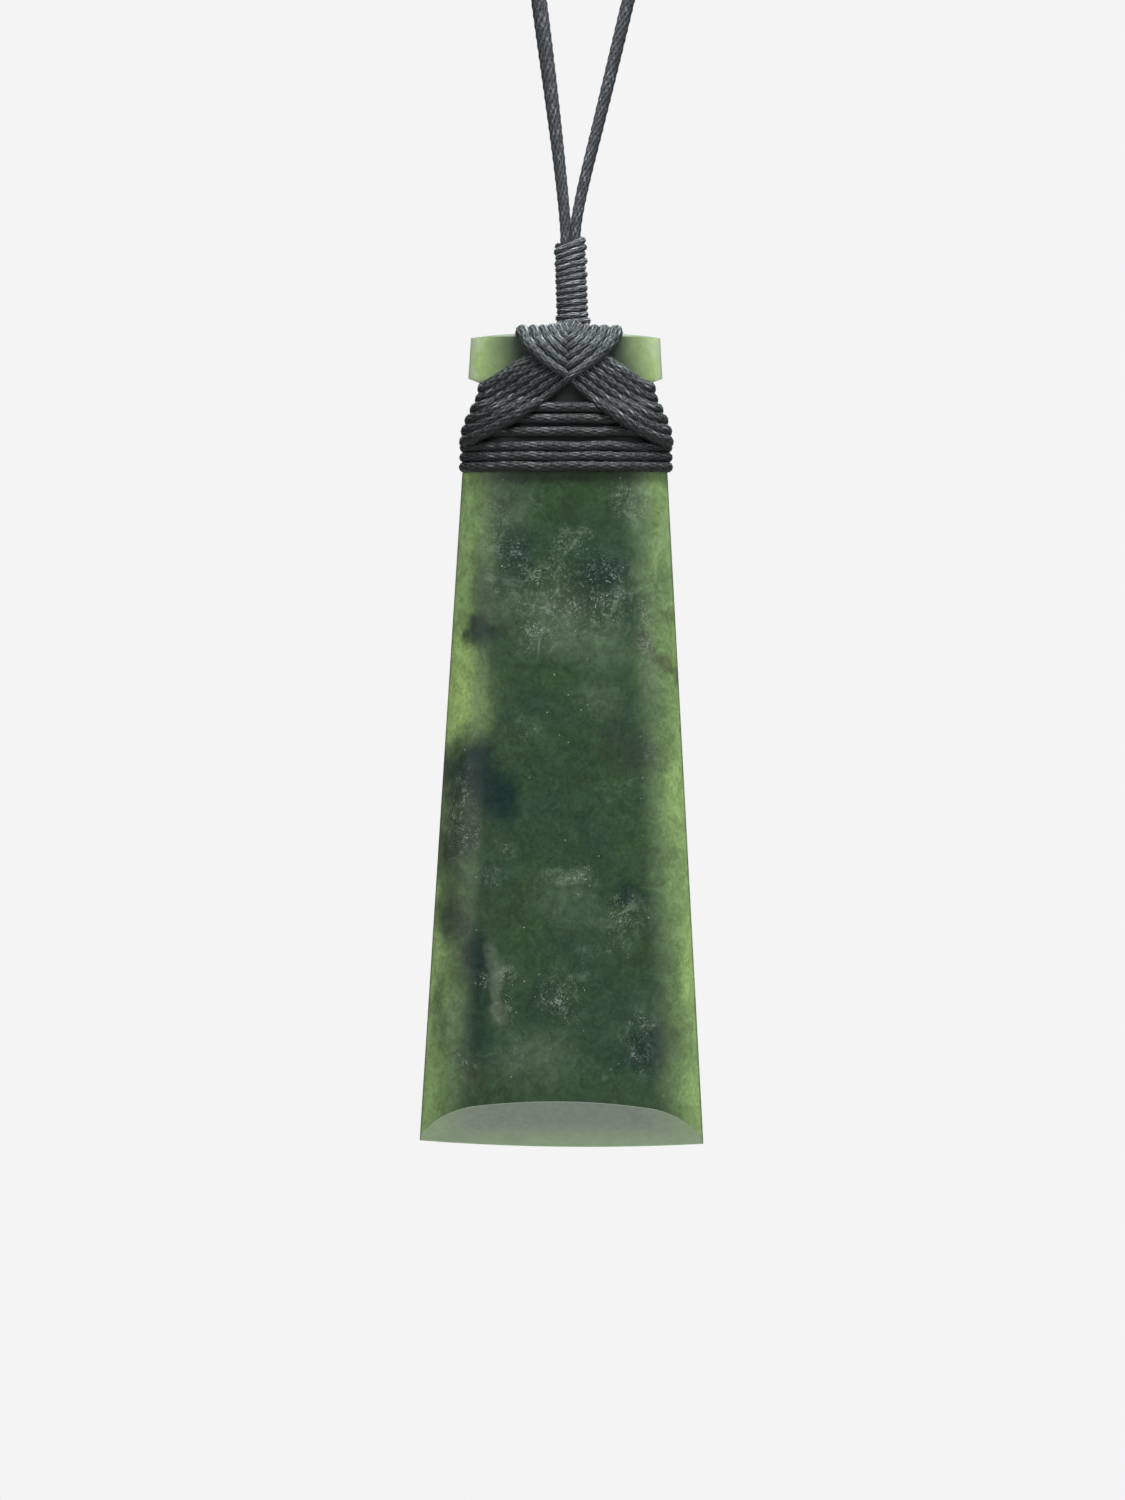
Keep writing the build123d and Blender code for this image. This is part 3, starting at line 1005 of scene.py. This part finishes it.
def braided_cord(name, route, thickness, settings, material, closed=False, tone=None,
                 weave=BINDING_WEAVE):
    """Round braided cord along a route. Its strands cross over and under as relief on one
    closed skin. The thickness is one value, or a function of the points along the line and
    of their shares of its length. The tone is a function of the points."""
    pitch = weave.pitch * pi * MM / settings.strands / tan(settings.braid_angle)
    line, length = even_line(spline_line(route, closed), pitch / weave.rings, closed)
    repeats = round(length / pitch)
    count = len(line)
    around = weave.around * settings.strands
    shares = np.arange(count) / (count if closed else count - 1)
    widths = np.full(count, thickness) if isinstance(thickness, float) else thickness(line, shares)
    tones = np.ones(count) if tone is None else tone(line)
    sides, ups = carried_frames(line, closed)
    angles = np.arange(around) / around
    across = settings.strands * angles[None, :]
    along = (shares * repeats)[:, None]
    height, family = braid_height(across + along, across - along)
    radius = widths[:, None] / 2 - settings.relief * (1 - height)
    ring = sides[:, None] * np.cos(tau * angles)[None, :, None]
    ring = ring + ups[:, None] * np.sin(tau * angles)[None, :, None]
    skin = (line[:, None] + ring * radius[:, :, None]).reshape(-1, 3)
    tips = line[:0] if closed else line[[0, -1]]

    faces, places = braid_faces(count, around, settings.strands, repeats, closed)
    mesh = bpy.data.meshes.new(name)
    mesh.from_pydata([*skin.tolist(), *tips.tolist()], [], faces)
    layer = mesh.uv_layers.new(name="braid")
    layer.data.foreach_set("uv", np.array(places, np.float32).ravel())
    spread_tones = np.repeat(tones, around)
    for key, values in (("crown", height), ("family", family), ("tone", spread_tones)):
        filled = np.concatenate([values.ravel(), np.zeros(len(tips))])
        attribute = mesh.attributes.new(key, "FLOAT", "POINT")
        attribute.data.foreach_set("value", filled.astype(np.float32))
    mesh.shade_smooth()
    mesh.materials.append(material)
    piece = bpy.data.objects.new(name, mesh)
    bpy.context.scene.collection.objects.link(piece)
    return piece


def wander(index, share, reach, waves=3):
    """Small smooth sideways drift of a turn, different for each one."""
    strength = 0.6 + 0.4 * sin(tau * share + 0.9 * index)
    return reach * sin(tau * waves * share + 1.7 * index) * strength


def row_route(number, settings):
    """Closed route of one level turn, anticlockwise from the left end of the front."""
    low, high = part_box(f"band_row_{number}")
    z = (low.z + high.z) / 2
    level = settings.row_thickness * ROW_PRESSED
    arch = TOP_ROW_ARCH if number == 1 else 0.0
    left = wall_at(z, -1) + ROW_CORNER
    right = wall_at(z, 1) - ROW_CORNER
    stations = 22
    points = []
    for facing, start, end in ((FRONT, left, right), (BACK, right, left)):
        for station in range(stations + 1):
            share = station / stations
            point = face_point(start + (end - start) * share, z, facing, level)
            point.z += arch * (sin(pi * share) - 1) + wander(number, share, ROW_DRIFT)
            points.append(point)
        side = 1 if facing == FRONT else -1
        points += side_points(z - arch, side, level + ROW_SIDE_OUT[side])[::-facing]
    return points


def share_past(value, start, reach):
    """Share of a reach that a value is past its start, from 0 to 1."""
    return min(1.0, max(0.0, (value - start) / reach))


def lash_level(way, z, settings, over):
    """How far the middle of a slanting turn lies off the stone. The way runs from the top of
    the butt, positive on its own half of the V and negative past the crossing, where one side
    lies over the other and then comes down to the stone."""
    low = settings.lash_thickness * 0.5
    high = low + settings.lash_thickness * LASH_STACK
    if way > 0:
        level = low + (high - low) * share_past(stone_high.z - z, 0.0, LASH_RISE)
        return level if over else low + (level - low) * share_past(way / MM, *LASH_DIVE)
    return high + (low - high) * share_past(-way / MM, *LASH_SETTLE) if over else low


def band_level(z, settings):
    """Extra height of a slanting turn where it lies over the level ones."""
    _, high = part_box("band_row_1")
    lift = share_past(high.z + BAND_LIFT_START - z, 0.0, BAND_LIFT_HEIGHT)
    return settings.row_thickness * BAND_LIFT * lift


def lash_route(number, side, settings):
    """Closed route of one slanting turn: over the top of the butt, down its half of the V,
    through the crossing and round the other side of the stone, front and back alike."""
    row = LASH_TABLE[number - 1]
    top = stone_high.z
    start = Vector((CROSSING_X + side * row.top_out * MM, 0, top + settings.lash_thickness * 0.3))
    cross = Vector((CROSSING_X, 0, top - row.cross_drop * MM))
    side_z = top - row.side_drop * MM
    goal = Vector((wall_at(side_z, -side) + side * LASH_CORNER, 0, side_z))
    legs = []
    for begin, end, steps, bow in ((start, cross, 9, row.bow), (cross, goal, 15, row.bow * 0.8)):
        down = Vector((end - begin).cross(Vector((0, 1, 0)))).normalized()
        if down.z > 0:
            down.negate()
        for step in range(steps + (end is goal)):
            share = step / steps
            legs.append(begin.lerp(end, share) + down * (bow * MM * sin(pi * share ** 0.8)))
    faces = []
    for facing in (FRONT, BACK):
        points = []
        for place in legs:
            way = side * (place.x - CROSSING_X)
            level = lash_level(way, place.z, settings, side > 0) + band_level(place.z, settings)
            points.append(face_point(place.x, place.z, facing, level))
        faces.append(points)
    crest = top_at(start.x) + row.crest * MM
    over_top = [
        Vector((start.x - side * 0.45 * MM, CREST_DEPTH, crest)),
        Vector((start.x + side * 0.10 * MM, -CREST_DEPTH, crest)),
    ]
    level = settings.fan_thickness * 0.5 + band_level(side_z, settings) * 0.6
    level += LASH_SIDE_OUT[-side] + row.side_out * MM
    return over_top + faces[0] + side_points(side_z, -side, level, LASH_DIP) + faces[1][::-1]


def lash_widths(number, side, settings):
    """Thickness of a slanting turn: full at the top and round the side, pressed thinner
    where it crosses."""
    row = LASH_TABLE[number - 1]
    spread_over = 5.0 * MM

    def widths(line, shares):
        way = side * (line[:, 0] - CROSSING_X)
        near_top = np.clip(way / (row.top_out * MM), 0, 1)
        near_side = np.clip(-way / spread_over, 0, 1)
        middle = settings.lash_thickness
        return (middle + (row.top_width * MM - middle) * near_top
                + (settings.fan_thickness - middle) * near_side)

    return widths


def lash_tones(number, side):
    """Lighter on the V than past the crossing, painted light where the V gets more light from
    above, and lighter on the uppermost turn of each fan."""
    past = FAN_TONE[side] + (TOP_FAN_TONE if number == LASH_COUNT else 0.0)

    def tones(line):
        way = side * (line[:, 0] - CROSSING_X)
        return past + (V_LIT_TONE - past) * np.clip((way + 0.5 * MM) / MM, 0, 1)

    return tones


def whipping_route(settings):
    """One helix round the two legs, steeper near its top, wider at its foot."""
    per_turn = 16
    foot_turns = 1.6
    foot_flare = 0.22
    thickness = settings.stem_thickness
    low = stem_low.z + thickness * 0.10
    high = stem_high.z - thickness * 0.45
    wide = (stem_high.x - stem_low.x) / 2 - thickness * 0.42
    deep = wide * 0.86
    total = settings.stem_turns * per_turn
    points = []
    for step in range(total + 1):
        share = step / total
        angle = tau * step / per_turn
        tilt = (0.02 + 0.48 * share ** 1.6) * MM
        foot = max(0.0, 1 - share * settings.stem_turns / foot_turns) * MM
        lean = (0.16 - 0.24 * share) * MM + 0.10 * foot
        out = wide + foot_flare * foot + wander(3, share, 0.10 * MM, waves=6)
        points.append(Vector((
            lean - out * cos(angle),
            -(deep + foot_flare * foot) * sin(angle),
            low + (high - low) * share - tilt * cos(angle),
        )))
    return points


# Operators

class PENDANT_OT_stone(bpy.types.Operator):
    """Softens the arrises of the stone blade and gives it its nephrite finish"""

    bl_idname = "pendant.stone"
    bl_label = "Stone blade"

    def line_tone(self, face):
        """1 on a softened arris, which gets a painted highlight, -1 on one along a side, which
        gets painted shade, else 0.
        """
        if face.material_index == 0:
            return 0.0
        over_edge = face.center.z > stone_low.z + EDGE_HEIGHT
        faces_sideways = abs(face.normal.x) > 0.25
        return -1.0 if over_edge and faces_sideways else 1.0

    def execute(self, context):
        settings = context.scene.pendant_stone
        deselect_all()
        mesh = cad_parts["stone_blade"].data.copy()
        mesh.materials.clear()
        # One slot for the faces, and one by which the bevel marks the arrises
        finish = nephrite(settings)
        mesh.materials.append(finish)
        mesh.materials.append(finish)
        piece = bpy.data.objects.new("toki_stone", mesh)
        context.scene.collection.objects.link(piece)
        select_only(piece)
        bpy.ops.object.mode_set(mode="EDIT")
        bpy.ops.mesh.select_all(action="SELECT")
        bpy.ops.mesh.remove_doubles(threshold=0.001 * MM)
        bpy.ops.mesh.dissolve_limited(angle_limit=radians(0.3))
        bpy.ops.object.mode_set(mode="OBJECT")
        bevel = piece.modifiers.new("arris", "BEVEL")
        bevel.width = settings.arris
        bevel.segments = 3
        bevel.limit_method = "ANGLE"
        bevel.angle_limit = ARRIS_ANGLE
        bevel.material = 1
        bpy.ops.object.modifier_apply(modifier=bevel.name)
        bpy.ops.object.shade_smooth_by_angle(angle=SMOOTH_ANGLE)
        # The ground bevel is what faces both down and to the front
        ground = [float(face.normal.z < -0.6 and face.normal.y < -0.3) for face in mesh.polygons]
        lines = [self.line_tone(face) for face in mesh.polygons]
        for key, values in (("ground", ground), ("line", lines)):
            mesh.attributes.new(key, "FLOAT", "FACE").data.foreach_set("value", values)
        mesh.polygons.foreach_set("material_index", [0] * len(mesh.polygons))
        mesh.materials.pop(index=1)
        dress(piece, "nephrite", "stone_blade")
        return {"FINISHED"}


class PENDANT_OT_band(bpy.types.Operator):
    """Winds the level turns of the binding round the notched stone"""

    bl_idname = "pendant.band"
    bl_label = "Level turns"

    def execute(self, context):
        settings = context.scene.pendant_cord
        # Painted shade: the level turns are a darker copy of the cord
        finish = braid_finish("band_braid", settings, 0.72)
        for number in range(1, ROW_COUNT + 1):
            piece = braided_cord(
                f"binding_row_{number}",
                row_route(number, settings),
                settings.row_thickness,
                settings,
                finish,
                closed=True)
            dress(piece, "binding_braid", f"band_row_{number}")
        return {"FINISHED"}


class PENDANT_OT_lashing(bpy.types.Operator):
    """Winds the slanting turns, which cross in front and behind and spread to the sides"""

    bl_idname = "pendant.lashing"
    bl_label = "Slanting turns"

    def execute(self, context):
        settings = context.scene.pendant_cord
        finish = braid_finish("lash_braid", settings, 1.0)
        for name, side in SIDES.items():
            other = "left" if name == "right" else "right"
            for number in range(1, LASH_COUNT + 1):
                piece = braided_cord(
                    f"lashing_{name}_{number}",
                    lash_route(number, side, settings),
                    lash_widths(number, side, settings),
                    settings,
                    finish,
                    closed=True,
                    tone=lash_tones(number, side))
                nodes = [f"fan_{other}_{LASH_COUNT + 1 - number}"]
                if number < LASH_COUNT:
                    nodes.append(f"saddle_{name}_{LASH_COUNT - number}")
                dress(piece, "binding_braid", *nodes)
        return {"FINISHED"}


class PENDANT_OT_whipping(bpy.types.Operator):
    """Winds the whipping round the two legs of the neck cord"""

    bl_idname = "pendant.whipping"
    bl_label = "Stem whipping"

    def execute(self, context):
        settings = context.scene.pendant_cord
        # Painted light: the whipping is a lighter copy of the cord
        finish = braid_finish("stem_braid", settings, 2.2, tint=(0.99, 0.96, 1.02))
        route = whipping_route(settings)
        piece = braided_cord("whipping", route, settings.stem_thickness, settings, finish)
        dress(piece, "binding_braid", "stem_whipping")
        return {"FINISHED"}


class PENDANT_OT_neck_cord(bpy.types.Operator):
    """Braids the whole loop of the neck cord, from the whipping and back into it"""

    bl_idname = "pendant.neck_cord"
    bl_label = "Neck cord"

    def execute(self, context):
        settings = context.scene.pendant_cord
        neck = context.scene.pendant_neck
        # Painted light: the neck cord is a lighter copy of the cord
        finish = braid_finish("neck_braid", settings, 1.95, 1.5, (0.98, 0.90, 0.99))
        route = [Vector((x, 0, z)) * MM for x, z in NECK_ROUTE]
        length = even_line(spline_line(route), MM, closed=False)[1]
        held = stem_high.z - NECK_ROUTE[0][1] * MM

        def thickness(line, shares):
            full = neck.left_full + (neck.right_full - neck.left_full) * shares
            clear = (np.minimum(shares, 1 - shares) * length - held) / neck.swell
            clear = np.clip(clear, 0, 1)
            return neck.stem_end + (full - neck.stem_end) * clear ** 2 * (3 - 2 * clear)

        piece = braided_cord("neck_loop", route, thickness, settings, finish, weave=NECK_WEAVE)
        dress(piece, "neck_braid", "neck_cord")
        return {"FINISHED"}


class PENDANT_OT_stage(bpy.types.Operator):
    """Adds the pale floor, the soft lights and the camera"""

    bl_idname = "pendant.stage"
    bl_label = "Stage"

    def studio(self, settings):
        """Pale paper to the camera, soft light all round, and a dimmer room in reflections."""
        world = bpy.data.worlds.new("studio")
        world.use_nodes = True
        nodes, links = world.node_tree.nodes, world.node_tree.links
        rays = nodes.new("ShaderNodeLightPath")
        shown = nodes["Background"]
        shown.inputs["Color"].default_value = (*ROOM_COLOUR, 1)
        shown.inputs["Strength"].default_value = ROOM_STRENGTH
        for ray, colour, strength in (
            ("Is Glossy Ray", (1.0, 1.0, 1.0), REFLECTED_STRENGTH),
            ("Is Camera Ray", settings.paper, 1.0),
        ):
            other = nodes.new("ShaderNodeBackground")
            other.inputs["Color"].default_value = (*colour, 1)
            other.inputs["Strength"].default_value = strength
            chosen = nodes.new("ShaderNodeMixShader")
            links.new(rays.outputs[ray], chosen.inputs[0])
            links.new(shown.outputs[0], chosen.inputs[1])
            links.new(other.outputs[0], chosen.inputs[2])
            shown = chosen
        links.new(shown.outputs[0], nodes["World Output"].inputs["Surface"])
        return world

    def execute(self, context):
        settings = context.scene.pendant_stage
        scene = context.scene
        deselect_all()
        floor_z = cad_low.z - settings.floor_drop
        bpy.ops.mesh.primitive_circle_add(
            vertices=96, radius=settings.floor_radius, fill_type="NGON", location=(0, 0, floor_z))
        floor = context.object
        floor.name = "floor"
        bpy.ops.object.transform_apply(location=True, rotation=False, scale=False)
        floor.data.materials.append(pale_paper(settings))

        scene.world = self.studio(settings)
        middle = Vector(settings.view_middle)
        for name, offset, size, power in LAMPS:
            lamp = bpy.data.lights.new(name, "AREA")
            lamp.shape = "SQUARE"
            lamp.size = size
            lamp.energy = power
            holder = bpy.data.objects.new(name, lamp)
            holder.location = middle + Vector(offset)
            holder.rotation_euler = (-Vector(offset)).to_track_quat("-Z", "Y").to_euler()
            holder.visible_camera = False
            scene.collection.objects.link(holder)

        camera = bpy.data.cameras.new("camera")
        camera.sensor_width = 36.0
        camera.lens = camera.sensor_width * settings.camera_distance / settings.view_height
        camera.clip_start = 0.05
        camera.clip_end = 20.0
        holder = bpy.data.objects.new("camera", camera)
        holder.location = middle + Vector((0, -settings.camera_distance, 0))
        holder.rotation_euler = (radians(90), 0, 0)
        scene.collection.objects.link(holder)
        scene.camera = holder
        scene.view_settings.view_transform = "Standard"
        return {"FINISHED"}


SETTINGS = {
    "pendant_stone": StoneSettings,
    "pendant_cord": CordSettings,
    "pendant_neck": NeckSettings,
    "pendant_stage": StageSettings,
}
OPERATORS = [
    PENDANT_OT_stone,
    PENDANT_OT_band,
    PENDANT_OT_lashing,
    PENDANT_OT_whipping,
    PENDANT_OT_neck_cord,
    PENDANT_OT_stage,
]


class PENDANT_PT_panel(bpy.types.Panel):
    """Lists the pieces of the pendant and the stage"""

    bl_idname = "PENDANT_PT_panel"
    bl_label = "Toki pendant"
    bl_space_type = "VIEW_3D"
    bl_region_type = "UI"
    bl_category = "Pendant"

    def draw(self, context):
        for operator in OPERATORS:
            self.layout.operator(operator.bl_idname)
        for key in SETTINGS:
            group = getattr(context.scene, key)
            for name in group.bl_rna.properties.keys():
                if name not in ("rna_type", "name"):
                    self.layout.prop(group, name)


def register():
    for key, group in SETTINGS.items():
        bpy.utils.register_class(group)
        setattr(bpy.types.Scene, key, PointerProperty(type=group))
    for kind in (*OPERATORS, PENDANT_PT_panel):
        bpy.utils.register_class(kind)


def unregister():
    for kind in (PENDANT_PT_panel, *reversed(OPERATORS)):
        bpy.utils.unregister_class(kind)
    for key, group in SETTINGS.items():
        delattr(bpy.types.Scene, key)
        bpy.utils.unregister_class(group)


def main():
    """Makes the pendant and its stage."""
    register()
    bpy.ops.pendant.stone()
    bpy.ops.pendant.band()
    bpy.ops.pendant.lashing()
    bpy.ops.pendant.whipping()
    bpy.ops.pendant.neck_cord()
    bpy.ops.pendant.stage()


if __name__ == "__main__":
    main()
